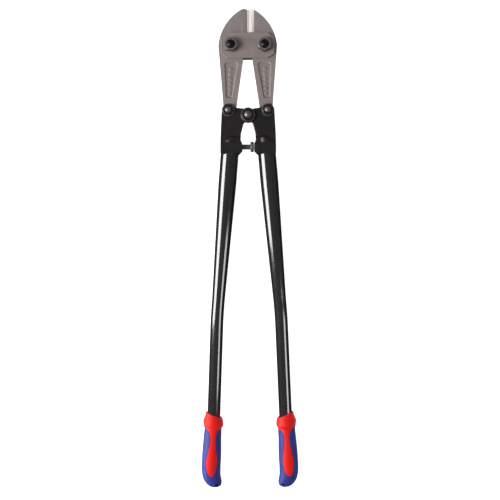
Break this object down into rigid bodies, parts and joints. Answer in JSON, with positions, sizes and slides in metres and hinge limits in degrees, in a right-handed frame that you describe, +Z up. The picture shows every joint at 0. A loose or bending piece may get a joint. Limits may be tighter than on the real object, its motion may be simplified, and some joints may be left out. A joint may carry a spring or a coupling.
{
  "type": "bolt cutters",
  "caption": "Long-handled bolt cutters with forged jaws, strap plates, a bracket toggle, tapered tube handles and two-colour grips.",
  "frame": {"origin": "on the surface the tool lies on, under the middle of its length and width", "axes": "+Y from the grips to the blade tips, +X to the right-hand handle, +Z up out of the tool's plane"},
  "size_m": [0.185, 0.914, 0.0499],
  "materials": {
    "jaw_steel": "forged alloy steel, blasted and clear coated",
    "strap_steel": "forged alloy steel plate, blasted",
    "black_bolt": "blackened steel bolt, polished end",
    "jaw_nut": "steel nut, turned face",
    "black_forging": "satin black enamel on a forging",
    "dark_bolt": "dark nickel-plated steel",
    "zinc_screw": "zinc-plated steel",
    "gloss_tube": "gloss black powder coat on steel tube",
    "blue_grip": "moulded blue polypropylene",
    "red_grip": "moulded red soft rubber"
  },
  "bodies": {
    "head": {"front_strap": "strap_steel", "rear_strap": "strap_steel", "left_jaw_bolt": "black_bolt", "right_jaw_bolt": "black_bolt", "left_jaw_nut": "jaw_nut", "right_jaw_nut": "jaw_nut"},
    "left_jaw": {"left_jaw": "jaw_steel"},
    "right_jaw": {"right_jaw": "jaw_steel"},
    "left_handle": {"left_bracket": "black_forging", "left_tail_bolt": "dark_bolt", "left_tail_washer": "dark_bolt", "left_tail_nut": "dark_bolt", "centre_bolt": "dark_bolt", "centre_washer": "dark_bolt", "centre_nut": "dark_bolt", "left_tube": "gloss_tube", "left_grip": "blue_grip", "left_grip_inlay": "red_grip"},
    "right_handle": {"right_bracket": "black_forging", "right_tail_bolt": "dark_bolt", "right_tail_washer": "dark_bolt", "right_tail_nut": "dark_bolt", "right_tube": "gloss_tube", "right_grip": "blue_grip", "right_grip_inlay": "red_grip"},
    "stop_screw": {"stop_screw": "zinc_screw"}
  },
  "joints": [
    {"name": "left_jaw_pivot", "type": "hinge", "parent": "head", "child": "left_jaw", "pos_m": [-0.032, 0.3865, 0.02], "axis": [0, 0, 1], "range_deg": [0, 5.3]},
    {"name": "right_jaw_pivot", "type": "hinge", "parent": "head", "child": "right_jaw", "pos_m": [0.032, 0.3865, 0.02], "axis": [0, 0, -1], "range_deg": [0, 5.3]},
    {"name": "left_handle_pivot", "type": "hinge", "parent": "left_jaw", "child": "left_handle", "pos_m": [-0.0376, 0.263, 0.02], "axis": [0, 0, -1], "range_deg": [0, 40.6]},
    {"name": "right_handle_pivot", "type": "hinge", "parent": "right_jaw", "child": "right_handle", "pos_m": [0.0376, 0.263, 0.02], "axis": [0, 0, 1], "range_deg": [0, 40.6]},
    {"name": "stop_screw_travel", "type": "slide", "parent": "left_handle", "child": "stop_screw", "axis": [-1, 0, 0], "range_m": [0, 0.004]}
  ],
  "couplings": [
    {"joint": "right_handle_pivot", "follows": "left_handle_pivot", "ratio": 1},
    {"joint": "left_jaw_pivot", "follows": "left_handle_pivot", "ratio": 0.1285},
    {"joint": "right_jaw_pivot", "follows": "left_handle_pivot", "ratio": 0.1285}
  ]
}
